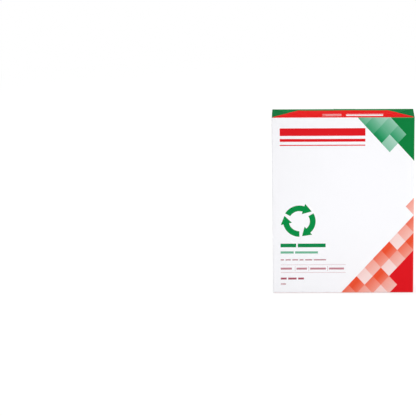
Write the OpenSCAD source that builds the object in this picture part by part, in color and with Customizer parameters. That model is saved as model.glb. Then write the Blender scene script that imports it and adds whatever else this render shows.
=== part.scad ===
// Wrapped ream of copy paper, standing on its short end: a sealed pack, so one solid.
// The front panel faces -Y and the lap seam is down the back. Each end has an envelope fold:
// two side tucks go in first, then the back flap, then the front flap over both.
// The origin is under the middle of the pack, on the plane that it stands on. Millimetres.

/* [Sheets] */
// Width of one sheet
sheet_width = 215.9; // [180:0.1:297]
// Length of one sheet, which stands upright
sheet_length = 279.4; // [250:0.1:432]
// How many sheets the pack holds
sheet_count = 500; // [350:50:750]
// Thickness of one sheet
sheet_caliper = 0.102; // [0.085:0.001:0.125]

/* [Wrapper] */
// Thickness of the wrapping paper
wrap_caliper = 0.13; // [0.08:0.01:0.25]
// Air between the stack and the wrapper on each side
wrap_slack = 0.12; // [0:0.01:0.5]
// Radius of the soft fold along the four long edges
long_fold_radius = 1.2; // [0.6:0.1:3]
// Radius of the fold where a flap turns over the end
end_fold_radius = 0.9; // [0.6:0.1:2]

/* [End folds] */
// Strip of the back flap that the front flap leaves bare
bare_strip = 11.2; // [4:0.1:14]
// Air held inside the turned edge of a flap
turned_edge_air = 0.25; // [0.05:0.01:0.6]
// Width over which a flap comes down from its turned edge to its middle
flap_run_out = 5; // [2:0.5:10]

/* [Lap seam] */
// Width of the glued overlap down the back
lap_width = 32; // [12:1:60]
// Distance from the pack's middle to the overlap's free edge
lap_edge_offset = -14; // [-50:1:10]
// Width over which the outer layer comes down past the hidden edge
lap_run_out = 2.5; // [1:0.5:6]

/* [Heading band] */
// Left margin of all the print
print_margin = 12; // [8:0.5:20]
// Distance from the top edge to the heading band
band_drop = 18; // [12:0.5:30]
// Length of the heading band
band_length = 130; // [60:1:130]
// Heights of the band's three bars, from the top down
band_bars = [12, 4.5, 1.6]; // [1:0.1:20]
// Gap between two bars of the band
band_gap = 4.7; // [1:0.1:8]

/* [Arrow loop] */
// Distance from the top edge to the centre of the loop of three arrows
loop_drop = 165; // [110:1:166]
// Outer radius of the loop
loop_radius = 25; // [16:0.5:27]
// Width of an arrow's shaft
arrow_width = 9; // [5:0.5:11]
// How far an arrow's head stands out on each side of its shaft
arrow_barb = 4.2; // [2:0.1:5]
// Angle at the loop's centre from an arrow's tail to the foot of its head
arrow_sweep = 78; // [50:1:85]

/* [Lines of print] */
// Distance from the top edge to the title, whose words are plain bars
title_drop = 201; // [197:0.5:203]
// Height of the title's bars
title_height = 6; // [4:0.5:8]
// Distance from the top edge to the line under the title
subtitle_drop = 213.5; // [210:0.5:216]
// Height of the bars in the line under the title
subtitle_height = 3.6; // [3:0.2:6]
// Distance from the top edge to the line of small print over the table
small_drop = 226.5; // [223:0.5:230]
// Height of the bars in a line of small print
small_height = 1.6; // [1:0.1:2.5]
// Distance from the top edge to the two lines under the table
footer_drop = 256; // [252:0.5:262]
// Gap between two words
word_gap = 2.4; // [1:0.1:3]

/* [Table] */
// Distance from the top edge to the table's upper rule
table_drop = 235; // [233:0.5:238]
// Height of the table
table_height = 13; // [10:0.5:16]
// Thickness of the table's rules
rule_width = 0.5; // [0.3:0.1:1]
// Widths of the table's columns
table_columns = [22, 21, 29, 28]; // [15:1:35]

/* [Corner fields] */
// Half the width of a lozenge
lozenge_half_width = 12.5; // [9:0.5:12.5]
// Half the height of a lozenge
lozenge_half_height = 14; // [10:0.5:14]

/* [Hidden] */
$fn = 48;

// The stack in one layer of wrapper, without the folds on its ends
pack_width = sheet_width + 2 * (wrap_slack + wrap_caliper);
pack_depth = sheet_count * sheet_caliper + 2 * (wrap_slack + wrap_caliper);
stack_height = sheet_length + 2 * wrap_slack;

// All flaps are cut to one depth, and their slanted edges lie at 45 degrees
flap_depth = pack_depth - bare_strip;

// Rise of each layer over the stack's end: at the sides every flap is turned under, so it is
// two layers of paper with air between them. In the middle it is one, and the front flap's
// middle lies over the lap seam as well.
turned_edge = 2 * wrap_caliper + turned_edge_air;
tuck_rise = wrap_caliper;
back_flap_rises = [tuck_rise + turned_edge, wrap_caliper];
front_flap_rises = [tuck_rise + 2 * turned_edge, 3 * wrap_caliper];
pack_height = stack_height + 2 * front_flap_rises[0];

// Height, from the pack's middle, at which the upright panels end and the end folds begin
panel_end = stack_height / 2 - end_fold_radius;

// Inks as red, green and blue. The red field's tints are of a warmer red.
green_ink = [0, 0.518, 0.259];
red_ink = [0.855, 0.118, 0.149];
warm_ink = [0.922, 0.353, 0.255];

// Reach of each corner field, and of its part in full colour, in half lozenges across and down
green_reach = [7.2, 5.2];
green_solid = [3.2, 5.2];
red_reach = [8.2, 10.2];
red_solid = [3.7, 4.6];

// Lengths of the bars that stand for words
title_words = [24, 43];
subtitle_words = [20, 35];
small_words = [5, 8, 9, 6, 11, 19];
footer_words = [9, 13, 9];
code_words = [8];

module rounded_rectangle(width, depth, radius) {
    square([width - 2 * radius, depth], center = true);
    square([width, depth - 2 * radius], center = true);
    for (x = [-1, 1], y = [-1, 1])
        translate([x * (width / 2 - radius), y * (depth / 2 - radius)])
            circle(radius);
}

// The tube of wrapper round the stack: front, back and two sides
module sleeve() {
    linear_extrude(2 * panel_end, center = true)
        rounded_rectangle(pack_width, pack_depth, long_fold_radius);
}

// The end of the pack above the panels, with its top `rise` over the stack and its edges folded round
module end_cap(rise) {
    height = 2 * (stack_height / 2 + rise);
    intersection() {
        translate([0, 0, panel_end])
            linear_extrude(height / 2 - panel_end)
                rounded_rectangle(pack_width, pack_depth, long_fold_radius);
        rotate([90, 0, 90])
            linear_extrude(2 * pack_width, center = true)
                rounded_rectangle(pack_depth, height, end_fold_radius);
        rotate([90, 0, 0])
            linear_extrude(2 * pack_depth, center = true)
                rounded_rectangle(pack_width, height, end_fold_radius);
    }
}

// A flap's outline: as wide as the pack at its fold, and drawn in at 45 degrees to its free edge
module flap_outline() {
    polygon([
        [-pack_width / 2, -pack_depth / 2],
        [pack_width / 2, -pack_depth / 2],
        [pack_width / 2 - flap_depth, -pack_depth / 2 + flap_depth],
        [-pack_width / 2 + flap_depth, -pack_depth / 2 + flap_depth]
    ]);
}

// Seen from the front, the flap stands high over its turned edges and comes down to one layer between them
module flap_profile(rises) {
    turned = pack_width / 2 - flap_depth;
    top = [for (rise = rises) stack_height / 2 + rise];
    polygon([
        [-pack_width, 0], [-pack_width, top[0]],
        [-turned, top[0]], [-turned + flap_run_out, top[1]],
        [turned - flap_run_out, top[1]], [turned, top[0]],
        [pack_width, top[0]], [pack_width, 0]
    ]);
}

module flap(rises) {
    intersection() {
        union() {
            intersection() {
                end_cap(rises[0]);
                rotate([90, 0, 0])
                    linear_extrude(2 * pack_depth, center = true)
                        flap_profile(rises);
            }
            end_cap(rises[1]);
        }
        linear_extrude(pack_height)
            flap_outline();
    }
}

// Both side tucks, which show between the flaps as a triangle at each side
module side_tucks() {
    color(0.8 * green_ink) end_cap(tuck_rise);
}

module back_flap() {
    color(green_ink) rotate([0, 0, 180]) flap(back_flap_rises);
}

module front_flap() {
    color(red_ink) flap(front_flap_rises);
}

module end_fold() {
    side_tucks();
    back_flap();
    front_flap();
}

// The overlap runs down the back and on over both back flaps to their free edges
module lap_seam() {
    hidden_edge = lap_edge_offset + lap_width;
    back_face = pack_depth / 2;
    end_face = stack_height / 2 + back_flap_rises[1];
    color("white")
        intersection() {
            linear_extrude(pack_height, center = true)
                polygon([
                    [lap_edge_offset, back_face - flap_depth],
                    [lap_edge_offset, back_face + wrap_caliper],
                    [hidden_edge, back_face + wrap_caliper],
                    [hidden_edge + lap_run_out, back_face],
                    [hidden_edge + lap_run_out, back_face - flap_depth]
                ]);
            rotate([90, 0, 90])
                linear_extrude(2 * pack_width, center = true)
                    rounded_rectangle(
                        pack_depth + 2 * wrap_caliper,
                        2 * (end_face + wrap_caliper),
                        end_fold_radius + wrap_caliper
                    );
        }
}

// A drawing on the front panel: x runs from its left edge and y down from its top edge
module on_front(depth = wrap_caliper) {
    translate([-pack_width / 2, depth - pack_depth / 2, pack_height / 2])
        rotate([90, 0, 0])
            mirror([0, 1, 0])
                linear_extrude(2 * depth)
                    children();
}

// A drawing that wraps round the right side: x runs from the right front edge towards the back,
// and is below zero on the front panel. y runs down from the top edge.
module round_the_side() {
    depth = long_fold_radius;
    on_front(depth)
        translate([pack_width, 0])
            children();
    translate([pack_width / 2 - depth, -pack_depth / 2, pack_height / 2])
        rotate([90, 0, 90])
            mirror([0, 1, 0])
                linear_extrude(2 * depth)
                    children();
    translate([pack_width / 2, pack_depth / 2 - depth, pack_height / 2])
        rotate([90, 0, 180])
            mirror([0, 1, 0])
                linear_extrude(2 * depth)
                    translate([-pack_depth, 0])
                        children();
}

// A row of plain bars that stands for a line of words
module words(lengths, height, i = 0) {
    square([lengths[i], height]);
    if (i + 1 < len(lengths))
        translate([lengths[i] + word_gap, 0])
            words(lengths, height, i + 1);
}

module heading_band() {
    translate([print_margin, band_drop]) {
        square([band_length, band_bars[0]]);
        translate([0, band_bars[0] + band_gap]) square([band_length, band_bars[1]]);
        translate([0, band_bars[0] + band_bars[1] + 2 * band_gap]) square([band_length, band_bars[2]]);
    }
}

module arrow() {
    far = 2 * loop_radius;
    intersection() {
        difference() {
            circle(loop_radius);
            circle(loop_radius - arrow_width);
        }
        polygon([
            [0, 0],
            [far, 0],
            [far * cos(arrow_sweep / 2), far * sin(arrow_sweep / 2)],
            [far * cos(arrow_sweep), far * sin(arrow_sweep)]
        ]);
    }
    rotate(arrow_sweep)
        translate([loop_radius - arrow_width / 2, 0])
            polygon([
                [-arrow_width / 2 - arrow_barb, 0],
                [arrow_width / 2 + arrow_barb, 0],
                [0, arrow_width + arrow_barb]
            ]);
}

module arrow_loop() {
    translate([print_margin + loop_radius + arrow_barb, loop_drop])
        for (turn = [0:2])
            rotate(120 * turn - 30)
                arrow();
}

module green_lines() {
    translate([print_margin, title_drop]) {
        words(title_words, title_height);
        translate([0, subtitle_drop - title_drop]) words(subtitle_words, subtitle_height);
    }
}

// Two rules with dividers between the columns, and a bar for the words in each column
module table() {
    ends = [for (i = 0, x = 0; i < len(table_columns); x = x + table_columns[i], i = i + 1) x];
    length = ends[len(ends) - 1] + table_columns[len(ends) - 1];
    translate([print_margin, table_drop]) {
        square([length, rule_width]);
        translate([0, table_height - rule_width]) square([length, rule_width]);
        for (i = [1:len(ends) - 1])
            translate([ends[i], word_gap]) square([rule_width, table_height - 2 * word_gap]);
        for (i = [0:len(ends) - 1])
            translate([ends[i] + (i > 0 ? word_gap : 0), table_height / 2 - small_height])
                square([table_columns[i] - 2 * word_gap, 2 * small_height]);
    }
}

module small_print() {
    translate([print_margin, small_drop]) words(small_words, small_height);
    translate([print_margin, footer_drop]) {
        words(footer_words, 2 * small_height);
        translate([0, 6 * small_height]) words(code_words, small_height);
    }
}

// How far a lozenge lies from its corner, from 0 at the corner to 1 at the end of the reach
function away(column, row, reach) = abs(column) / reach[0] + row / reach[1];

// Strength of a lozenge's tint from 1 to 4: less far out, and varied from one to the next
function strength(column, row, reach) =
    let (turn = ((abs(column) + 3 * row) / 2 + 2) % 4)
    min(4, max(1, round(1.9 + 1.2 * turn - 1.5 * away(column, row, reach))));

module lozenge(column, row) {
    translate([column * lozenge_half_width, row * lozenge_half_height])
        polygon([
            [-lozenge_half_width, 0],
            [0, -lozenge_half_height],
            [lozenge_half_width, 0],
            [0, lozenge_half_height]
        ]);
}

// A corner field's lozenges of one strength, or those in full colour where the strength is 0
module lozenges(shade, reach, solid) {
    for (column = [-floor(reach[0]):floor(reach[0])], row = [0:floor(reach[1])])
        if ((column + row) % 2 == 0 && away(column, row, reach) <= 1)
            if ((away(column, row, solid) <= 1 ? 0 : strength(column, row, reach)) == shade)
                lozenge(column, row);
}

module green_field(shade) {
    lozenges(shade, green_reach, green_solid);
}

module red_field(shade) {
    translate([0, pack_height])
        mirror([0, 1, 0])
            lozenges(shade, red_reach, red_solid);
}

module printed(colour) {
    color(colour)
        intersection() {
            sleeve();
            children();
        }
}

function tint(ink, shade) = [for (part = ink) 1 - (1 - part) * (shade == 0 ? 1 : 0.21 * shade)];

// The sleeve with its print, which goes no deeper than the wrapper and fills the cuts made for it
module printed_sleeve() {
    color("white")
        difference() {
            sleeve();
            round_the_side()
                for (shade = [0:4]) {
                    green_field(shade);
                    red_field(shade);
                }
            on_front() {
                heading_band();
                arrow_loop();
                green_lines();
                table();
                small_print();
            }
        }
    for (shade = [0:4]) {
        printed(tint(green_ink, shade)) round_the_side() green_field(shade);
        printed(tint(shade == 0 ? red_ink : warm_ink, shade)) round_the_side() red_field(shade);
    }
    printed(red_ink)
        on_front() {
            heading_band();
            table();
            small_print();
        }
    printed(green_ink)
        on_front() {
            arrow_loop();
            green_lines();
        }
}

// The overlap stands one layer proud of the back, so the pack sits half a layer forward of the origin
module wrapped_ream() {
    translate([0, -wrap_caliper / 2, pack_height / 2]) {
        printed_sleeve();
        for (end = [0, 1]) mirror([0, 0, end]) end_fold();
        lap_seam();
    }
}

wrapped_ream();
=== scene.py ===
import math

import bpy
import numpy as np
from mathutils import Euler, Matrix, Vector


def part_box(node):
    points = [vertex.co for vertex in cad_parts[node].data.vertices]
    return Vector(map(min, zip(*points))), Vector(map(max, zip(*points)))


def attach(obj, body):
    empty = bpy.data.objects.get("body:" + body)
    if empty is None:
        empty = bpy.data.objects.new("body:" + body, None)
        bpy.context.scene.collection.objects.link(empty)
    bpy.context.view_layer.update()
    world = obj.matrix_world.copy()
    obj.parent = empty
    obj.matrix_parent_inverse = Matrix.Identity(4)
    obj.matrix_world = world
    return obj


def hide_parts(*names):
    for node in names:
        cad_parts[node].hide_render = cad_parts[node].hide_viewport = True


# A ream of copy paper in its sealed wrapper, standing on its short end.
# Shapes are worked out in millimetres, measured from the middle of the pack's box, with the
# front panel facing -y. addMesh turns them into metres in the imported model's frame.

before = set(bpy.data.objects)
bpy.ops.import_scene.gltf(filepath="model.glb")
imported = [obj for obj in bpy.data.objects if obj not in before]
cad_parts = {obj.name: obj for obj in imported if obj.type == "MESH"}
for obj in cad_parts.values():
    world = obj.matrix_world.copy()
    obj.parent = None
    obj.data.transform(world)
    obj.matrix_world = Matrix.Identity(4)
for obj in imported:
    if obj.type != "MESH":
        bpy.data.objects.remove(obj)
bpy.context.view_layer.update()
boxLow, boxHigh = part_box("wrapped_ream")

pack = {
    "caliper": 0.13,      # thickness of the wrapping paper
    "longFold": 1.2,      # radius of the soft fold along the four upright edges
    "endFold": 0.9,       # radius of the fold where a flap turns over an end
    "bareStrip": 11.2,    # strip of the back flap that the front flap leaves bare
    "endRise": 1.15,      # thickest pile of folded paper over the stack's end
    "creaseReach": 0.6,   # how far the worn ink and painted highlight of a fold reach from its middle
}
caliper = pack["caliper"]
width = 1000 * (boxHigh.x - boxLow.x)
height = 1000 * (boxHigh.z - boxLow.z)
depth = 1000 * (boxHigh.y - boxLow.y) - caliper  # the lap seam stands one layer proud of the back
flapDepth = depth - pack["bareStrip"]
stackEnd = height / 2 - pack["endRise"]          # outer face of the sleeve's end, from the middle
panelEnd = stackEnd - pack["endFold"]            # where the upright panels end
# the middle of an end fold: how far it lies in from the panel and from the end, and along the arc
foldMiddle, foldArc = 0.29 * pack["endFold"], 0.78 * pack["endFold"]
centre = np.array([0, 1000 * boxLow.y + depth / 2, height / 2])

# how many points the grids have
fineness = {
    "widePanel": 84, "sidePanel": 72, "longFold": 7, "panelRows": 110,
    "endFold": 8, "nearRows": 11,
    "nearReach": 5, "farStep": 0.7,  # mm: near rows up to there, and the step between those beyond
    "gusset": 16, "turnedEdge": 10, "flap": 121, "tuck": 49,
    "seam": 40, "seamRows": 240,
}
print("pack %.1f x %.1f x %.1f mm" % (width, depth, height))


def smooth(x):
    # 0 below 0, 1 above 1, and 3x^2 - 2x^3 between them
    x = np.clip(x, 0, 1)
    return x * x * (3 - 2 * x)


def spread(start, end, count):
    # count values from start up to, but not including, end
    return np.linspace(start, end, count, endpoint=False)


def stacked(*parts):
    # arrays of shapes that fit together, as one grid of points or uvs
    return np.stack(np.broadcast_arrays(*parts), 2)


def crease(distance):
    # e^(-(d / reach)^2): 1 on a fold and 0 well away from it
    return np.exp(-(distance / pack["creaseReach"]) ** 2)


def gridFaces(rows, cols, closed=False):
    # quads of a grid of rows x cols points, closed round the columns or not. The second
    # array numbers the same corners in a grid that has one more column where it is closed.
    i, j = np.meshgrid(np.arange(rows - 1), np.arange(cols if closed else cols - 1), indexing="ij")
    i, j = i.ravel(), j.ravel()
    wide = cols + 1 if closed else cols
    quads, flat = [], []
    for di, dj in ((0, 0), (0, 1), (1, 1), (1, 0)):
        quads.append((i + di) * cols + (j + dj) % cols)
        flat.append((i + di) * wide + j + dj)
    return np.stack(quads, 1), np.stack(flat, 1)


def addMesh(name, points, faces, uvs, creases, materials, slots=None):
    # points in mm from the pack's middle, faces as lists of corners, one uv in mm per corner and
    # one crease per point. The signed volume, a sum of p0.(p1 x p2) over the quads, tells which
    # way the faces point.
    faces = [list(face) for face in faces]
    quads = np.array([face for face in faces if len(face) == 4])
    a, b, c, d = (points[quads[:, k]] for k in range(4))
    volume = (a * np.cross(b, c)).sum() + (a * np.cross(c, d)).sum()
    if volume < 0:
        faces = [face[::-1] for face in faces]
        uvs = [uv[::-1] for uv in uvs]
    mesh = bpy.data.meshes.new(name)
    mesh.from_pydata(((points + centre) / 1000).tolist(), [], faces)
    layer = mesh.uv_layers.new(name="paper")
    layer.data.foreach_set("uv", np.concatenate([np.asarray(uv, float) for uv in uvs]).ravel())
    mesh.attributes.new("crease", "FLOAT", "POINT").data.foreach_set("value", creases.ravel())
    for material in materials:
        mesh.materials.append(material)
    if slots is not None:
        mesh.polygons.foreach_set("material_index", np.asarray(slots, np.int32))
    mesh.polygons.foreach_set("use_smooth", np.ones(len(faces), bool))
    mesh.set_sharp_from_angle(angle=math.radians(50))
    mesh.validate()
    piece = bpy.data.objects.new(name, mesh)
    bpy.context.scene.collection.objects.link(piece)
    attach(piece, "root")
    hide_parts("wrapped_ream")
    print("made", name, len(faces), "faces")


def addSheet(name, middle, uv, creases, materials, folded=True):
    # a sheet of paper one caliper thick: its middle surface is pushed out along its normal,
    # the cross product of the grid's two directions, and in by the same half. Its rim shows the
    # raw core, except along the first row where that is a fold and not a cut edge.
    rows, cols = middle.shape[:2]
    normal = np.cross(np.gradient(middle, axis=1), np.gradient(middle, axis=0))
    normal /= np.linalg.norm(normal, axis=2, keepdims=True)
    half = normal * caliper / 2
    points = np.concatenate([(middle + half).reshape(-1, 3), (middle - half).reshape(-1, 3)])
    quads, _ = gridFaces(rows, cols)
    index = np.arange(rows * cols).reshape(rows, cols)
    border = np.concatenate([index[0, :-1], index[:-1, -1], index[-1, :0:-1], index[:0:-1, 0]])
    ahead = np.roll(border, -1)
    rim = np.stack([ahead, border, border + rows * cols, ahead + rows * cols], 1)
    faces = np.concatenate([quads, quads[:, ::-1] + rows * cols, rim])
    slots = np.r_[np.zeros(2 * len(quads)), np.ones(len(rim))]
    if folded:
        slots[2 * len(quads):2 * len(quads) + cols - 1] = 0
    addMesh(name, points, faces, uv.reshape(-1, 2)[faces % (rows * cols)],
            np.tile(creases.ravel(), 2), materials, slots)


def linear(display):
    # a colour as the screen shows it, 0 to 255, in the shader's linear values
    c = np.array(display) / 255
    return tuple(np.where(c <= 0.04045, c / 12.92, ((c + 0.055) / 1.055) ** 2.4)) + (1.0,)


class Nodes:
    # short names for the nodes of one tree
    def __init__(self, tree):
        self.tree = tree

    def add(self, kind, inputs=None, **settings):
        node = self.tree.nodes.new("ShaderNode" + kind)
        for key, value in settings.items():
            setattr(node, key, value)
        for key, value in (inputs or {}).items():
            self.set(node.inputs[key], value)
        return node

    def set(self, socket, value):
        if isinstance(value, bpy.types.NodeSocket):
            self.tree.links.new(value, socket)
        else:
            socket.default_value = value

    def math(self, operation, a, b=0.0, c=0.0):
        return self.add("Math", {0: a, 1: b, 2: c}, operation=operation).outputs[0]

    def between(self, x, low, high):
        # 1 where low < x < high
        return self.math("MULTIPLY", self.math("GREATER_THAN", x, low),
                         self.math("LESS_THAN", x, high))

    def box(self, across, down, left, top, length, high):
        # 1 inside a box of the plane of across and down
        return self.math("MULTIPLY", self.between(across, left, left + length),
                         self.between(down, top, top + high))

    def choose(self, mask, a, b):
        # a where the mask is 0 and b where it is 1
        return self.math("MULTIPLY_ADD", mask, self.math("SUBTRACT", b, a), a)

    def anyOf(self, masks):
        total = masks[0]
        for mask in masks[1:]:
            total = self.math("MAXIMUM", total, mask)
        return total

    def mix(self, factor, a, b, blend="MIX"):
        node = self.add("Mix", data_type="RGBA", blend_type=blend)
        for key, value in ((0, factor), (6, a), (7, b)):
            self.set(node.inputs[key], value)
        return node.outputs[2]

    def noise(self, scale, detail):
        return self.add("TexNoise", {"Vector": self.place(), "Scale": scale, "Detail": detail,
                                     "Roughness": 0.55}).outputs[0]

    def place(self):
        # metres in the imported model's frame
        return self.add("TexCoord").outputs["Object"]

    def paperPlace(self):
        # the piece's own u and v, in mm
        split = self.add("SeparateXYZ", {0: self.add("UVMap", uv_map="paper").outputs[0]})
        return split.outputs[0], split.outputs[1]

    def group(self, tree, inputs):
        node = self.add("Group", node_tree=tree)
        for key, value in inputs.items():
            self.set(node.inputs[key], value)
        return node.outputs

    def seenDirectly(self):
        # 1 for the rays that see the background: straight on, mirrored, or through glass
        rays, kinds = self.add("LightPath").outputs, ("Camera", "Glossy", "Transmission")
        return self.anyOf([rays["Is %s Ray" % kind] for kind in kinds])


def newGroup(name, inputs, outputs):
    tree = bpy.data.node_groups.new(name, "ShaderNodeTree")
    for socket, value in inputs:
        item = tree.interface.new_socket(socket, in_out="INPUT", socket_type="NodeSocketFloat")
        item.default_value = value
    for socket in outputs:
        tree.interface.new_socket(socket, in_out="OUTPUT", socket_type="NodeSocketFloat")
    given = tree.nodes.new("NodeGroupInput").outputs
    return Nodes(tree), given, tree.nodes.new("NodeGroupOutput").inputs


def makePaperSurface():
    # tone, roughness and relief of coated paper: fibre mottle, a fine grain, soft long dents
    n, given, out = newGroup("paperSurface", [("Ink", 0.0)], ["Tone", "Roughness", "Height"])
    grain = n.noise(1500.0, 2.0)       # grain of about 0.7 mm
    fibre = n.noise(320.0, 4.0)        # cloudy fibre of about 3 mm
    dents = n.noise(26.0, 2.0)         # soft dents of about 40 mm
    tone = n.math("MULTIPLY_ADD", fibre, 0.012, 0.994)
    n.set(out["Tone"], n.math("MULTIPLY", tone, n.math("MULTIPLY_ADD", dents, 0.010, 0.995)))
    rough = n.math("MULTIPLY_ADD", given["Ink"], -0.09, 0.56)  # ink is a little smoother
    n.set(out["Roughness"], n.math("MULTIPLY_ADD", fibre, 0.08, rough))
    n.set(out["Height"], n.math("MULTIPLY_ADD", grain, 0.012, n.math("MULTIPLY", dents, 0.35)))
    return n.tree


def makeCreaseWearAndHighlight():
    # where ink has cracked off along the folds, and a painted highlight on them: the crease, broken
    # up by a fine noise
    n, given, out = newGroup("creaseWearAndHighlight", [("Amount", 0.4)], ["Mask"])
    fold = n.add("Attribute", attribute_name="crease").outputs["Fac"]
    speck = n.add("MapRange", {"Value": n.noise(1100.0, 5.0), 1: 0.36, 2: 0.64}).outputs[0]
    n.set(out["Mask"], n.math("MULTIPLY", n.math("MULTIPLY", fold, speck), given["Amount"]))
    return n.tree


def makeCornerField():
    # Lozenges round a corner. Across and Down are in half lozenges from the corner. The sum and
    # the difference, halved and rounded, give the column and row of the lozenge that a point is
    # in, and those its strength from 1 to 4: less far out, and varied from one to the next.
    n, given, out = newGroup(
        "cornerField",
        [("Across", 0.0), ("Down", 0.0), ("Reach across", 8.0), ("Reach down", 8.0),
         ("Solid across", 4.0), ("Solid down", 4.0), ("Base", 0.0), ("Step", 0.2)],
        ["Tint", "Solid"])
    half = lambda a, b, operation: n.math("MULTIPLY", n.math(operation, a, b), 0.5)
    rising = half(given["Across"], given["Down"], "ADD")
    falling = half(given["Across"], given["Down"], "SUBTRACT")
    p, q = (n.math("FLOOR", n.math("ADD", value, 0.5)) for value in (rising, falling))
    column, row = n.math("ADD", p, q), n.math("SUBTRACT", p, q)

    def away(kind):
        return n.math("ADD", n.math("DIVIDE", column, given[kind + " across"]),
                      n.math("DIVIDE", row, given[kind + " down"]))

    inside = n.math("LESS_THAN", away("Reach"), 1.0001)
    solid = n.math("LESS_THAN", away("Solid"), 1.0001)
    steps = n.math("MULTIPLY_ADD", row, 1.5, n.math("MULTIPLY_ADD", column, 0.5, 2.0))
    turn = n.math("MODULO", n.math("ROUND", steps), 4.0)
    strength = n.math("MULTIPLY_ADD", turn, 1.2, n.math("MULTIPLY_ADD", away("Reach"), -1.5, 1.9))
    strength = n.math("MINIMUM", n.math("MAXIMUM", n.math("ROUND", strength), 1.0), 4.0)
    slope = n.math("MULTIPLY_ADD", n.math("SUBTRACT", rising, p), 0.42, 1.0)  # lighter to one side
    tint = n.math("MULTIPLY", n.math("MULTIPLY_ADD", strength, given["Step"], given["Base"]), slope)
    tint = n.math("MULTIPLY", n.math("MULTIPLY", tint, inside), n.math("SUBTRACT", 1.0, solid))
    n.set(out["Tint"], tint)
    n.set(out["Solid"], n.math("MULTIPLY", solid, inside))
    return n.tree


paperLook = {
    "white": (247, 247, 250),   # bare coated paper
    "core": (236, 234, 228),    # raw cut edge
    "green": (0, 126, 62),
    "red": (226, 28, 36),
    "warm": (240, 84, 54),      # red's tints are of a warmer red
    "wine": (160, 60, 75),      # ink of the small print
    "loopGreen": (0, 141, 70),
    "flapGreen": (0, 121, 60),
    "flapRed": (228, 28, 28),
    # the next green is the flaps' green darkened: painted shade on the tucks and in the sleeve's
    # hairline gaps
    "paintedShadeGreen": (0, 110, 54),
    "specular": 0.05,
    "flapSpecular": 0.006,
    "coreSpecular": 0.1,
    "bump": 0.55,
    "wearAndHighlight": 0.13,               # how far the folds show the core through the ink: worn ink and a painted highlight
}
paperSurface = makePaperSurface()
creaseWearAndHighlight = makeCreaseWearAndHighlight()
cornerField = makeCornerField()


def newMaterial(name):
    material = bpy.data.materials.new(name)
    material.use_nodes = True
    nodes = Nodes(material.node_tree)
    return material, nodes, material.node_tree.nodes["Principled BSDF"]


def finishPaper(n, shader, colour, ink, specular):
    # colour, worn along the folds and lightened there as a painted highlight, times the paper's
    # tone, its roughness, and its relief through one Bump
    surface = n.group(paperSurface, {"Ink": ink})
    # the folds mixed towards the core colour: worn ink and a painted highlight on the folded edges
    wornAndHighlit = n.group(creaseWearAndHighlight, {"Amount": paperLook["wearAndHighlight"]})["Mask"]
    colour = n.mix(wornAndHighlit, colour, linear(paperLook["core"]))
    tone = n.add("CombineColor", {part: surface["Tone"] for part in range(3)}).outputs[0]
    n.set(shader.inputs["Base Color"], n.mix(1.0, colour, tone, "MULTIPLY"))
    n.set(shader.inputs["Roughness"], surface["Roughness"])
    n.set(shader.inputs["Specular IOR Level"], specular)
    relief = {"Height": surface["Height"], "Strength": paperLook["bump"], "Distance": 0.001}
    n.set(shader.inputs["Normal"], n.add("Bump", relief).outputs[0])


def plainPaper(name, key, ink, specular):
    material, n, shader = newMaterial(name)
    finishPaper(n, shader, linear(paperLook[key]), ink, paperLook[specular])
    return material


# The print repeats the layout of the part's source: mm from the front's left and top edges
layout = {
    "margin": 12, "small": 1.6, "gap": 2.4,
    "band": {"drop": 18, "length": 130, "bars": (12, 4.5, 1.6), "gap": 4.7},
    "loop": {"drop": 165, "radius": 25, "shaft": 9, "barb": 4.2, "sweep": 78, "turn": 30},
    # rows of bars: drop, height, tone, lengths
    "greenRows": ((201, 6, 0.93, (24, 43)), (213.5, 3.6, 0.54, (20, 35))),
    "wineRows": ((226.5, 1.6, 0.95, (5, 8, 9, 6, 11, 19)), (256, 3.2, 0.85, (9, 13, 9)),
                 (265.6, 1.6, 0.85, (8,))),
    "table": {"drop": 235, "height": 13, "rule": 0.5, "tone": 0.6, "columns": (22, 21, 29, 28)},
    # corner fields: half a lozenge in mm, reaches in half lozenges across and down, and for the
    # tints their base and the step from one to the next
    "lozenge": (12.5, 14),
    "greenReach": (7.2, 5.2), "greenSolid": (3.2, 5.2), "greenTint": (0.27, 0.125),
    "redReach": (8.2, 10.2), "redSolid": (3.7, 4.6), "redTint": (-0.05, 0.25),
    # the back repeats the front's lines smaller, beside the lap seam: place from its left edge
    "back": {"left": 132, "drop": 18, "scale": 0.55},
    # and so do the front flaps, whose small pale lines are left, inset, length and height
    "flap": {"left": 113, "drop": 8, "scale": 0.43, "pale": 0.6,
             "lines": ((77, 8, 29, 2.2), (82, 12.4, 24, 2.2), (77, 16.8, 29, 2.2))},
}


def headingBars(n, across, down, left, top, scale):
    # three bars of one length, one below the other
    band, bars = layout["band"], []
    for bar in band["bars"]:
        bars.append(n.box(across, down, left, top, band["length"] * scale, bar * scale))
        top += (bar + band["gap"]) * scale
    return bars


def wordRow(n, across, down, drop, high, tone, words):
    # bars for a row of words: one constant ramp over the row's length is the tone inside each
    left, gap = layout["margin"], layout["gap"]
    length = sum(words) + gap * (len(words) - 1)
    ramp = n.add("ValToRGB", {0: n.math("DIVIDE", n.math("SUBTRACT", across, left), length)})
    ramp.color_ramp.interpolation = "CONSTANT"
    marks = ramp.color_ramp.elements
    while len(marks) > 1:
        marks.remove(marks[0])
    marks[0].position, marks[0].color = 0.0, (tone, tone, tone, 1)
    x = 0.0
    for word in words[:-1]:
        marks.new((x + word) / length).color = (0, 0, 0, 1)
        x += word + gap
        marks.new(x / length).color = (tone, tone, tone, 1)
    return n.math("MULTIPLY", ramp.outputs[0], n.box(across, down, left, drop, length, high))


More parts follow.
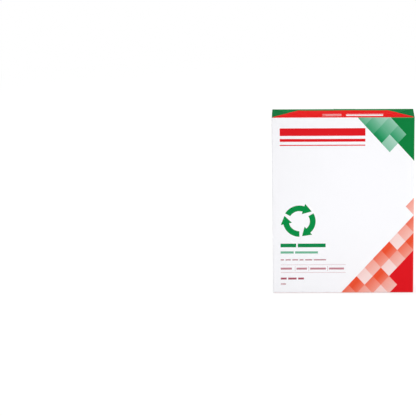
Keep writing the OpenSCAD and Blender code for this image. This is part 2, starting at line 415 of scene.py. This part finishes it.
def tableMask(n, across, down):
    # two rules, dividers between the columns, and a bar in each column
    table, left, gap, small = (layout[key] for key in ("table", "margin", "gap", "small"))
    drop, high, rule = table["drop"], table["height"], table["rule"]
    boxes = [(left, y, sum(table["columns"]), rule) for y in (drop, drop + high - rule)]
    x = left
    for index, column in enumerate(table["columns"]):
        inset = gap if index else 0
        boxes.append((x + inset, drop + high / 2 - small, column - 2 * gap, 2 * small))
        if index:
            boxes.append((x, drop + gap, rule, high - 2 * gap))
        x += column
    return n.math("MULTIPLY", n.anyOf([n.box(across, down, *box) for box in boxes]), table["tone"])


def loopMask(n, across, down):
    # Three arrows round a circle: the angle is folded into one third of a turn, in which a
    # piece of ring runs up to `sweep` and a straight-sided head tapers on from there
    loop = layout["loop"]
    x = n.math("SUBTRACT", across, layout["margin"] + loop["radius"] + loop["barb"])
    y = n.math("SUBTRACT", down, loop["drop"])
    radius = n.math("SQRT", n.math("ADD", n.math("MULTIPLY", x, x), n.math("MULTIPLY", y, y)))
    turn = n.math("ADD", n.math("ARCTAN2", y, x), math.radians(loop["turn"] + 360))
    turn = n.math("MODULO", turn, math.radians(120))
    sweep = math.radians(loop["sweep"])
    shaft = n.math("MULTIPLY", n.math("LESS_THAN", turn, sweep),
                   n.between(radius, loop["radius"] - loop["shaft"], loop["radius"]))
    ahead = n.math("SUBTRACT", turn, sweep)
    along = n.math("MULTIPLY", radius, n.math("SINE", ahead))
    aside = n.math("SUBTRACT", n.math("MULTIPLY", radius, n.math("COSINE", ahead)),
                   loop["radius"] - loop["shaft"] / 2)
    tip = loop["shaft"] + loop["barb"]
    halfHead = loop["shaft"] / 2 + loop["barb"]
    taper = n.math("MULTIPLY_ADD", along, -halfHead / tip, halfHead)
    head = n.math("MULTIPLY", n.between(along, 0.0, tip),
                  n.math("LESS_THAN", n.math("ABSOLUTE", aside), taper))
    return n.math("MAXIMUM", shaft, head)


def printLayers(n, across, down):
    # one mask for each ink of the front's print, as functions of mm across and down. Bars that
    # stand for thin letters have a paler tone, as those look from a step away.
    band = headingBars(n, across, down, layout["margin"], layout["band"]["drop"], 1)
    wine, green = ([wordRow(n, across, down, *row) for row in layout[key]]
                   for key in ("wineRows", "greenRows"))
    return [("red", n.anyOf(band)), ("wine", n.anyOf(wine + [tableMask(n, across, down)])),
            ("green", n.anyOf(green)), ("loopGreen", loopMask(n, across, down))]


def makeSleevePaper():
    # The print lies on the unrolled sleeve: u is mm from the right front edge, below zero on
    # the front, and v is mm down from the pack's top. On the back, past u = depth, the front's
    # layout is read at a wider pitch, which makes it smaller there.
    material, n, shader = newMaterial("printedPaper")
    u, v = n.paperPlace()
    back = layout["back"]
    onBack, pitch = n.math("GREATER_THAN", u, depth), 1 / back["scale"]
    left = layout["margin"] - (depth + back["left"]) * pitch
    top = layout["band"]["drop"] - back["drop"] * pitch
    layers = printLayers(
        n, n.choose(onBack, n.math("ADD", u, width), n.math("MULTIPLY_ADD", u, pitch, left)),
        n.choose(onBack, v, n.math("MULTIPLY_ADD", v, pitch, top)))
    across = n.math("DIVIDE", n.math("ABSOLUTE", u), layout["lozenge"][0])
    fields = {}
    for name, down in (("green", v), ("red", n.math("SUBTRACT", height, v))):
        reach, solid, tint = (layout[name + key] for key in ("Reach", "Solid", "Tint"))
        fields[name] = n.group(cornerField, {
            "Across": across, "Down": n.math("DIVIDE", down, layout["lozenge"][1]),
            "Reach across": reach[0], "Reach down": reach[1],
            "Solid across": solid[0], "Solid down": solid[1],
            "Base": tint[0], "Step": tint[1]})
    layers += [("green", fields["green"]["Solid"]), ("red", fields["red"]["Solid"]),
               ("green", fields["green"]["Tint"]), ("warm", fields["red"]["Tint"])]
    colour = (1, 1, 1, 1)
    for key, mask in layers:
        colour = n.mix(mask, colour, tuple(part / 255 for part in paperLook[key]) + (1.0,))
    colour = n.add("Gamma", {0: colour, 1: 2.2}).outputs[0]  # mixed as the screen shows it
    paper = n.mix(1.0, colour, linear(paperLook["white"]), "MULTIPLY")
    # from the middle of the end folds on, the sleeve is in the tucks' green darkened as painted
    # shade, for hairline gaps
    over = n.math("GREATER_THAN", n.math("ABSOLUTE", n.math("SUBTRACT", v, height / 2)),
                  stackEnd - foldMiddle)
    paper = n.mix(over, paper, linear(paperLook["paintedShadeGreen"]))
    finishPaper(n, shader, paper, n.anyOf([mask for key, mask in layers]), paperLook["specular"])
    return material


def makeFrontFlapPaper():
    # red, with the heading's bars and small pale lines left white; u is mm from the pack's
    # middle and v is mm in from the front edge
    material, n, shader = newMaterial("flapRedPaper")
    u, v = n.paperPlace()
    across, flap = n.math("ADD", u, width / 2), layout["flap"]
    white = n.anyOf(headingBars(n, across, v, flap["left"], flap["drop"], flap["scale"]))
    pale = n.anyOf([n.box(across, v, *line) for line in flap["lines"]])
    bare = n.math("MAXIMUM", white, n.math("MULTIPLY", pale, flap["pale"]))
    colour = n.mix(bare, linear(paperLook["flapRed"]), linear(paperLook["white"]))
    finishPaper(n, shader, colour, n.math("SUBTRACT", 1.0, bare), paperLook["flapSpecular"])
    return material


def makeSeamPaper():
    # white up the back and the flaps' green past the end folds
    material, n, shader = newMaterial("seamPaper")
    along = n.math("ABSOLUTE", n.paperPlace()[1])
    over = n.math("GREATER_THAN", along, panelEnd + foldArc)
    colour = n.mix(over, linear(paperLook["white"]), linear(paperLook["flapGreen"]))
    finishPaper(n, shader, colour, over, paperLook["flapSpecular"])
    return material


printedPaper = makeSleevePaper()
redPaper = makeFrontFlapPaper()
seamPaper = makeSeamPaper()
greenPaper = plainPaper("flapGreenPaper", "flapGreen", 1.0, "flapSpecular")
# the tucks' material: the flaps' green paper, darkened as painted shade
tuckShadePaper = plainPaper("paintedShadeGreenPaper", "paintedShadeGreen", 1.0, "flapSpecular")
corePaper = plainPaper("paperCore", "core", 0.0, "coreSpecular")
print("materials made")

# the sleeve
panelShape = {
    "crown": 0.22,         # how far the wide panels stand out in their middle
    "cockle": 0.11,        # long soft waves in the paper
    "pull": 0.16,          # creases that run in from the corners
    "pullReach": 26,       # how far those run
    "edgeFade": 16,        # width over which all of it dies away towards the folds
    "sheetLines": 0.035,   # edges of the sheets, felt through the sides
}


def panelRelief(across, up, half, phase):
    # Crown (1 - x^2)(1 - z^2), three crossing sine waves, and creases cos(9 angle) e^(-r/reach)
    # from each corner, all faded to nothing at the folds. A narrow panel stands out less.
    fade = smooth((half - np.abs(across)) / panelShape["edgeFade"])
    fade = fade * smooth((panelEnd - np.abs(up)) / panelShape["edgeFade"])
    crown = (1 - (across / half) ** 2) * (1 - (up / panelEnd) ** 2)
    waves = (np.sin(across / 19 + up / 61 + phase) + 0.7 * np.sin(up / 23 - across / 47 + 2 * phase)
             + 0.5 * np.sin(across / 11 - up / 33 + 3 * phase)) / 2.2
    pulls = 0
    for sideX in (-1, 1):
        for sideZ in (-1, 1):
            x, z = half - sideX * across, panelEnd - sideZ * up
            lines = np.cos(9 * np.arctan2(z, x) + phase * (2 + sideX) + sideZ)
            reach = np.exp(-np.hypot(x, z) / panelShape["pullReach"])
            pulls = pulls + lines * reach * smooth(np.minimum(x, z) / 7)
    soft = (crown * panelShape["crown"] + waves * panelShape["cockle"]) * half * 2 / width
    return fade * soft + panelShape["pull"] * pulls


def sheetLines(across, up, half, phase):
    # the stack's edges on a side panel: fine uneven ribs that run upright
    ribs = (np.sin(across * 2.1 + phase) + np.sin(across * 1.23 + 2 * phase + up / 90)
            + 0.8 * np.sin(across * 0.61 - up / 140))
    fade = smooth((half - np.abs(across)) / 4) * smooth((panelEnd - np.abs(up)) / 8)
    return panelShape["sheetLines"] * ribs * fade


def sleeveRelief(x, y, up, panel):
    # relief of the panel with that number, 0 for the front and on round, at points on it
    if panel % 2 == 0:
        return panelRelief(x, up, width / 2 - pack["longFold"], 1.3 + panel)
    half = depth / 2 - pack["longFold"]
    return panelRelief(y, up, half, 0.4 + panel) + sheetLines(y, up, half, panel)


def sleeveOutline():
    # The outline anticlockwise from the left of the front: four straights and four arcs.
    # Columns: x, y, outward normal, u of the unrolled sleeve, and panel number, -1 on a fold
    fold, quarter = pack["longFold"], math.pi / 2
    hx, hy = width / 2 - fold, depth / 2 - fold
    columns = []
    for panel in range(4):
        wide = panel % 2 == 0
        long, half = (hx, hy) if wide else (hy, hx)
        turn = panel * quarter
        along, out = (math.cos(turn), math.sin(turn)), (math.sin(turn), -math.cos(turn))
        start = (-width, 0, depth, depth + width)[panel] + fold
        t = spread(-long, long, fineness["widePanel" if wide else "sidePanel"])
        one = np.ones_like(t)
        columns.append(np.stack([
            t * along[0] + (half + fold) * out[0], t * along[1] + (half + fold) * out[1],
            out[0] * one, out[1] * one, start + t + long, panel * one], 1))
        angle = spread(0, quarter, fineness["longFold"])
        nx = out[0] * np.cos(angle) + along[0] * np.sin(angle)
        ny = out[1] * np.cos(angle) + along[1] * np.sin(angle)
        columns.append(np.stack([
            long * along[0] + half * out[0] + fold * nx,
            long * along[1] + half * out[1] + fold * ny,
            nx, ny, start + 2 * long + 2 * fold * angle / quarter, -np.ones_like(angle)], 1))
    return np.concatenate(columns)


def makeSleeve():
    # Each row is the outline drawn in by r(1 - cos a) at a height of r(1 - sin a) below the end:
    # a quarter turn at both ends, and straight between them
    fold, columns = pack["endFold"], sleeveOutline()
    angle = np.linspace(math.pi / 2, 0, fineness["endFold"])
    rim = np.stack([fold * (1 - np.cos(angle)), stackEnd - fold * (1 - np.sin(angle))], 1)
    straight = np.linspace(panelEnd, -panelEnd, fineness["panelRows"])[1:-1]
    rows = np.concatenate([rim, np.stack([0 * straight, straight], 1), rim[::-1] * (1, -1)])
    drawnIn, up = rows[:, :1], rows[:, 1:]
    x, y, nx, ny, u, panel = columns.T
    push = np.zeros((len(rows), len(columns)))
    for number in range(4):
        here = panel == number
        push[:, here] = sleeveRelief(x[here], y[here], up, number)
    push = push * (drawnIn == 0) - drawnIn
    points = stacked(x + nx * push, y + ny * push, up)
    quads, flat = gridFaces(len(rows), len(columns), closed=True)
    uv = stacked(np.append(u, u[0] + 2 * (width + depth)), height / 2 - up).reshape(-1, 2)
    count = len(columns)
    ends = [np.arange(count)[::-1], (len(rows) - 1) * count + np.arange(count)]
    endUvs = [uv[:count][::-1], uv[-count - 1:-1]]
    folds = np.array([-width, 0, depth, depth + width, 2 * depth + width])
    creases = np.maximum(crease(np.abs(u - folds[:, None]).min(0)),
                         crease(stackEnd - foldMiddle - np.abs(up)))
    addMesh("sleeve", points.reshape(-1, 3), list(quads) + ends, list(uv[flat]) + endUvs,
            creases, [printedPaper])


# the folded ends
endShape = {
    "turnedAir": 0.25,    # air held inside a flap's turned edge
    "airReach": 12,       # how far that air dies away under the flap
    "plyStep": 1.4,       # width over which paper comes down from one layer to the next
    "freeLift": 0.22,     # how far the front flap's free edge stands off between its corners
    "liftReach": 7,
    "tuckPuff": 0.16,     # swell of a side tuck where it shows
    "wave": 0.05,         # soft unevenness of every flap
    "phases": {"back": 2.1, "top": 0.6, "bottom": 3.9},  # which sets one flap's waves off another's
    "cornerCut": 0.9,     # how much of a flap's corner is lost in the fold
    "underlap": 1.5,      # how far a gusset reaches past the end of the turned edge
    "proud": 0.02,        # how far a flap starts above the sleeve, in the middle of its fold
    "sunk": 0.3,          # and its gusset below it
    "settle": 3.2,        # width over which it comes up to its full height
    "hair": 0.01,         # how far a tuck stays under what lies on it
}
seam = {
    "left": -14,          # free edge, from the pack's middle and seen from the front
    "width": 32,          # of the overlap
    "runOut": 2.5,        # width over which the outer layer comes down past the hidden edge
    "edgeLift": 0.30,     # how far the free edge stands off at most
    "liftReach": 3,
    "ripple": 0.06,       # ripples that the glue draws in the overlap
}


def endPath(start, inset):
    # Path from an upright panel over an end fold to `inset` mm in from the panel. `start` is the
    # angle on the fold, 0 at the panel. It gives columns of the inset, the height over the
    # stack's end, and the normal's parts inwards and up.
    fold, near = pack["endFold"], fineness["nearReach"]
    angle = np.linspace(start, math.pi / 2, fineness["endFold"])
    arc = np.stack([fold * (1 - np.cos(angle)), fold * (np.sin(angle) - 1),
                    -np.cos(angle), np.sin(angle)], 1)
    flat = np.concatenate([
        np.linspace(fold, near, fineness["nearRows"])[1:],
        np.linspace(near, inset, int((inset - near) / fineness["farStep"]))[1:]])
    path = np.concatenate([arc, np.stack([flat, 0 * flat, 0 * flat, np.ones_like(flat)], 1)])
    return [path[:, k:k + 1] for k in range(4)]


def riseFrom(inset):
    # 0 in the middle of the end fold, 1 once a flap has come up to its full height
    return smooth((inset - foldMiddle) / endShape["settle"])


def layer(inside):
    # 1 over a layer of paper, and down to 0 within a ply step past its edge
    return smooth(inside / endShape["plyStep"] + 1)


def tuckTop(fromSide, fromFront, fromBack):
    # outer face of a side tuck: one layer, swelling where no flap holds it down
    puff = smooth((np.minimum(fromFront, fromBack) - fromSide) / 9) * smooth(fromSide / 5)
    top = caliper * layer(flapDepth - fromSide) + endShape["tuckPuff"] * puff
    return top * riseFrom(fromFront) * riseFrom(fromBack)


def flapTop(under, x, inset, phase):
    # outer face of a flap over what lies under it: its own layer, the gusset turned under, air
    # a e^(-d/reach) at d from the turned edge, and two crossing sine waves
    fromSide = width / 2 - np.abs(x)
    toEdge = np.maximum(fromSide - inset, 0)
    air = endShape["turnedAir"] * np.exp(-toEdge / endShape["airReach"])
    waves = np.sin(x / 13 + inset / 9 + phase) + 0.6 * np.sin(x / 29 - inset / 6 + 2 * phase)
    gusset = layer(flapDepth + endShape["underlap"] - fromSide)
    return under + caliper * (1 + gusset) + air + endShape["wave"] * waves * smooth(toEdge / 8)


def seamTop(x, inset, up):
    # The overlap's outer layer above what it lies on. Its free edge stands off by
    # lift e^(-x / reach), more and less up the back, where ripples sin(z + sin x) cross it too.
    # At the ends the front flap holds it down.
    fromEdge, fromEnd = x - seam["left"], panelEnd - np.abs(up)
    down = smooth((fromEdge - seam["width"]) / seam["runOut"])
    lift = seam["edgeLift"] * np.exp(-fromEdge / seam["liftReach"])
    lift = lift * (0.55 + 0.45 * np.cos(fromEnd / 17)) * smooth((pack["bareStrip"] - 1 - inset) / 2)
    ripple = (1 + np.sin(up / 1.9 + 1.5 * np.sin(x / 6 + up / 40))) * smooth(fromEnd / 12)
    ripple = seam["ripple"] * ripple * smooth(fromEdge / 4)
    return (caliper + lift + ripple) * (1 - down) - endShape["proud"] * down


def backUnder(x, inset):
    # what the back flap lies on: the stack's end and the side tucks
    return tuckTop(width / 2 - np.abs(x), depth - inset, inset)


def backTop(x, inset):
    # outer face of the back flap, `inset` mm in from the back edge
    return flapTop(backUnder(x, inset), x, inset, endShape["phases"]["back"])


def frontUnder(x, inset):
    # what the front flap lies on: the stack, the tucks, and the back flap with its seam
    fromSide, fromBack = width / 2 - np.abs(x), depth - inset
    seamRight = seam["left"] + seam["width"] + seam["runOut"]
    onSeam = layer(x - seam["left"]) * smooth((seamRight - x) / seam["runOut"])
    back = backTop(-x, fromBack) + caliper * onSeam
    covered = layer(flapDepth - fromBack) * layer(fromSide - fromBack)
    return back * covered + tuckTop(fromSide, inset, fromBack) * (1 - covered)


def frontTop(x, inset, phase):
    # Outer face of the front flap. It stands off a little along its free edge, by
    # (1 - x^2)(3 + cos x) / 4, and not at its glued corners
    half = width / 2 - flapDepth
    along = np.clip(1 - (x / half) ** 2, 0, 1) * (0.75 + 0.25 * np.cos(x / 17))
    lift = endShape["freeLift"] * along * smooth((inset - flapDepth) / endShape["liftReach"] + 1)
    return flapTop(frontUnder(x, inset), x, inset, phase) + lift


def turnedEdge(inset):
    # half the width of a flap at `inset`: it narrows at 45 degrees, its corner a little rounded
    return width / 2 - np.hypot(inset, endShape["cornerCut"])


def flapGrid(under, top):
    # A flap's middle surface. Across, it runs from the left gusset's inner edge out under the
    # flap, half round the turned edge (a circle on the slant, so root 2 wider across), over to
    # the other turned edge, and back in under. Its slanted edges lie at 45 degrees.
    inset, level, normalIn, normalUp = endPath(math.pi / 4, flapDepth)
    rise, slant = riseFrom(inset), math.sqrt(2)
    edge = turnedEdge(inset) - slant * (caliper + endShape["turnedAir"]) / 2
    inner = width / 2 - flapDepth - endShape["underlap"]
    tuckIn = np.linspace(1, 0, fineness["gusset"])[:-1]    # gusset, inner edge to turned edge
    bend = np.linspace(-math.pi / 2, math.pi / 2, fineness["turnedEdge"])[1:-1]
    g = np.linspace(-1, 1, fineness["flap"])
    middle = np.sign(g) * (1 - (1 - np.abs(g)) ** 1.5) * edge  # closer near the edges

    def outer(x):
        return rise * top(x, inset) + (1 - rise) * endShape["proud"] - caliper / 2

    def gusset(x):
        return rise * (under(x, inset) + caliper / 2) - (1 - rise) * endShape["sunk"]

    blocks = []
    for side in (-1, 1):
        x = side * (edge + (inner - edge) * tuckIn)
        high, low = outer(side * edge), gusset(side * edge)
        radius = (high - low) / 2
        blocks.append([(x, gusset(x)), (side * (edge + slant * radius * np.cos(bend)),
                                        (high + low) / 2 + radius * np.sin(bend))])
    back = [(x[:, ::-1], h[:, ::-1]) for x, h in blocks[1][::-1]]
    parts = blocks[0] + [(middle, outer(middle))] + back
    x, h = (np.concatenate([part[k] for part in parts], 1) for k in range(2))
    grid = stacked(x, inset + h * normalIn - depth / 2, stackEnd + level + h * normalUp)
    creases = np.maximum(crease(turnedEdge(inset) - np.abs(x)), crease(inset))
    return grid, stacked(x, inset), creases


def tuckGrid(side):
    # a side tuck's middle surface, from the middle of its end fold to its inner edge
    inset, level, normalIn, normalUp = endPath(math.pi / 4, flapDepth)
    half = depth / 2 - endShape["cornerCut"]
    y = np.linspace(-half, half, fineness["tuck"])[None, :]
    rise = riseFrom(inset)
    h = rise * tuckTop(inset, depth / 2 + y, depth / 2 - y) + (1 - rise) * endShape["proud"]
    h = h - caliper / 2 - endShape["hair"]
    grid = stacked(side * (width / 2 - inset - h * normalIn), y, stackEnd + level + h * normalUp)
    return grid, stacked(y, inset), crease(inset + 0 * y)


def seamGrid():
    # The overlap's middle surface, from the lower back flap's free edge down and round, up the
    # back and over to the upper one's. It follows the back panel and both flaps.
    inset, level, normalIn, normalUp = endPath(0, flapDepth)
    up = np.linspace(panelEnd, -panelEnd, fineness["seamRows"])[1:-1, None]
    right = seam["left"] + seam["width"] + seam["runOut"]
    x = np.linspace(seam["left"], right, fineness["seam"])[None, :]
    rise = riseFrom(inset)
    base = rise * backTop(-x, inset) + (1 - rise) * endShape["proud"]
    h = base + seamTop(x, inset, panelEnd) - caliper / 2
    end = stacked(x, depth / 2 - inset - h * normalIn, stackEnd + level + h * normalUp)
    run = stacked(x, panelEnd + inset + level + pack["endFold"])
    push = sleeveRelief(x, 0, up, 2) + endShape["proud"] + seamTop(x, 0, up) - caliper / 2
    grid = np.concatenate([end[::-1], stacked(x, depth / 2 + push, up), end * (1, 1, -1)])
    uv = np.concatenate([run[::-1], stacked(x, up), run * (1, -1)])
    return grid, uv, crease(np.abs(uv[..., 1]) - panelEnd - foldArc)


makeSleeve()
for end, flip in (("top", 1), ("bottom", -1)):
    for sideName, side in (("left", -1), ("right", 1)):
        grid, uv, creases = tuckGrid(side)
        addSheet(end + "_tuck_" + sideName, grid * (1, 1, flip), uv, creases,
                 [tuckShadePaper, corePaper])
    grid, uv, creases = flapGrid(backUnder, backTop)
    addSheet(end + "_back_flap", grid * (-1, -1, flip), uv, creases, [greenPaper, corePaper])
    phase = endShape["phases"][end]
    grid, uv, creases = flapGrid(frontUnder, lambda x, inset: frontTop(x, inset, phase))
    addSheet(end + "_front_flap", grid * (1, 1, flip), uv, creases, [redPaper, corePaper])
addSheet("lap_seam", *seamGrid(), [seamPaper, corePaper], folded=False)

# floor and light
studio = {
    "floorRadius": 6.0,
    "floorPoints": 96,
    "floorWhite": 0.60,
    "floorShadow": 0.30,        # share of the real light in what the camera sees of the floor
    "shadowGlow": 0.85,         # glow that this light takes the place of
    "shadowReach": (0.5, 1.6),  # metres from the pack between which that share fades to none
    "ambient": 0.45,
}
# Each softbox: place in metres, size, and the light it puts on a surface that faces it
softboxes = {
    "key": {"place": (0.07, -0.62, 0.11), "size": 0.45, "level": 0.475},
    "overhead": {"place": (-0.1, -0.45, 2.6), "size": 1.8, "level": 0.40},
    "fill": {"place": (2.6, -1.0, 1.3), "size": 1.8, "level": 0.18},
    "back": {"place": (-1.6, 2.6, 0.9), "size": 1.4, "level": 0.46},
    "left": {"place": (-2.8, 0.3, 0.7), "size": 1.2, "level": 0.06},
    "right": {"place": (2.8, 0.3, 0.7), "size": 1.2, "level": 0.17},
}


def makeFloor():
    # a disc, its points (r cos a, r sin a)
    angle = spread(0, 2 * math.pi, studio["floorPoints"])
    points = np.stack([np.cos(angle), np.sin(angle), 0 * angle], 1) * studio["floorRadius"]
    mesh = bpy.data.meshes.new("floor")
    mesh.from_pydata(points.tolist(), [], [list(range(len(angle)))])
    floor = bpy.data.objects.new("floor", mesh)
    bpy.context.scene.collection.objects.link(floor)
    material = bpy.data.materials.new("floorWhite")
    material.use_nodes = True
    n = Nodes(material.node_tree)
    n.tree.nodes.clear()
    white = studio["floorWhite"]
    plain = n.add("BsdfDiffuse", {"Color": (white, white, white, 1)}).outputs[0]
    away = n.add("VectorMath", {0: n.place()}, operation="LENGTH").outputs["Value"]
    near, far = studio["shadowReach"]
    share = n.add("MapRange", {"Value": away, "From Min": near, "From Max": far,
                               "To Min": studio["floorShadow"], "To Max": 0.0},
                  interpolation_type="SMOOTHSTEP").outputs[0]
    strength = n.math("MULTIPLY_ADD", share, -studio["shadowGlow"], 1.0)
    seen = n.add("BsdfDiffuse", {"Color": share}).outputs[0]
    glow = n.add("Emission", {"Color": (1, 1, 1, 1), "Strength": strength}).outputs[0]
    both = n.add("AddShader", {0: seen, 1: glow}).outputs[0]
    mixed = n.add("MixShader", {0: n.seenDirectly(), 1: plain, 2: both}).outputs[0]
    n.set(n.add("OutputMaterial").inputs[0], mixed)
    mesh.materials.append(material)


def makeWorld():
    # white where it is seen, and the ambient light for all else
    world = bpy.data.worlds.new("studio")
    bpy.context.scene.world = world
    world.use_nodes = True
    n = Nodes(world.node_tree)
    n.tree.nodes.clear()
    ambient = studio["ambient"]
    strength = n.math("MULTIPLY_ADD", n.seenDirectly(), 1.0 - ambient, ambient)
    background = n.add("Background", {"Color": (1, 1, 1, 1), "Strength": strength}).outputs[0]
    n.set(n.add("OutputWorld").inputs[0], background)


def makeSoftboxes():
    # at distance r, an area light of power P gives P / (pi r^2) head on, and 1 on paper needs pi
    target = np.array([0, 0, height / 2000])
    for name, box in softboxes.items():
        light = bpy.data.lights.new(name, "AREA")
        light.shape, light.size = "DISK", box["size"]
        away = np.array(box["place"]) - target
        light.energy = box["level"] * math.pi * math.pi * float(away @ away)
        lamp = bpy.data.objects.new(name, light)
        lamp.location = box["place"]
        lamp.visible_camera = False
        lamp.rotation_euler = (math.acos(away[2] / np.linalg.norm(away)), 0,
                               math.atan2(away[1], away[0]) + math.pi / 2)
        bpy.context.scene.collection.objects.link(lamp)


view = {
    "lens": 200,
    "elevation": 16.5,        # degrees over the front's normal
    "aside": -0.04,           # metres to the left of the pack's middle
    "distance": 3.56,
    "shift": (-0.15, -0.04),
    "frame": 416,             # pixels across the photograph
    "place": (342.9, 201.2),  # where the pack's middle lies in it
}


def makeCamera():
    # It aims past the pack, so that the pack's middle lies at its place in the frame: `right0`
    # and `up0` are that place's slopes from the camera's axis. Tilt t solves
    # sin t + up cos t = n sin e for the target at elevation e, with n = sqrt(1 + right^2 + up^2),
    # and the yaw follows. The roll cancels the lean right sin t / (cos t - up sin t) of uprights,
    # and turns the slopes, so it is worked out three times over.
    camera = bpy.data.cameras.new("camera")
    camera.lens = view["lens"]
    camera.shift_x, camera.shift_y = view["shift"]
    camera.clip_end = 50
    lift, size = math.radians(view["elevation"]), view["frame"]
    ahead, rise = view["distance"] * math.cos(lift), view["distance"] * math.sin(lift)
    target = np.array([0, 0, height / 2000])
    eye = target + np.array([view["aside"], -ahead, rise])
    scale = view["lens"] / camera.sensor_width * size  # pixels for a slope of 1
    right0 = (view["place"][0] - size / 2 + view["shift"][0] * size) / scale
    up0 = (size / 2 - view["place"][1] + view["shift"][1] * size) / scale
    to = target - eye
    roll = 0.0
    for _ in range(3):
        right = right0 * math.cos(roll) - up0 * math.sin(roll)
        up = right0 * math.sin(roll) + up0 * math.cos(roll)
        rising = to[2] / np.linalg.norm(to) * math.sqrt(1 + right * right + up * up)
        tilt = math.asin(rising / math.hypot(1, up)) - math.atan(up)
        ahead = math.cos(tilt) - up * math.sin(tilt)
        yaw = math.atan2(to[0], to[1]) - math.atan2(right, ahead)
        roll = math.atan(right * math.sin(tilt) / ahead)
    aim = Euler((math.pi / 2 + tilt, 0, -yaw)).to_matrix() @ Matrix.Rotation(roll, 3, "Z")
    spot = bpy.data.objects.new("camera", camera)
    spot.location = eye
    spot.rotation_euler = aim.to_euler()
    bpy.context.scene.collection.objects.link(spot)
    bpy.context.scene.camera = spot


makeFloor()
makeWorld()
makeSoftboxes()
makeCamera()
bpy.context.scene.view_settings.view_transform = "Standard"
print("floor, light and camera made")
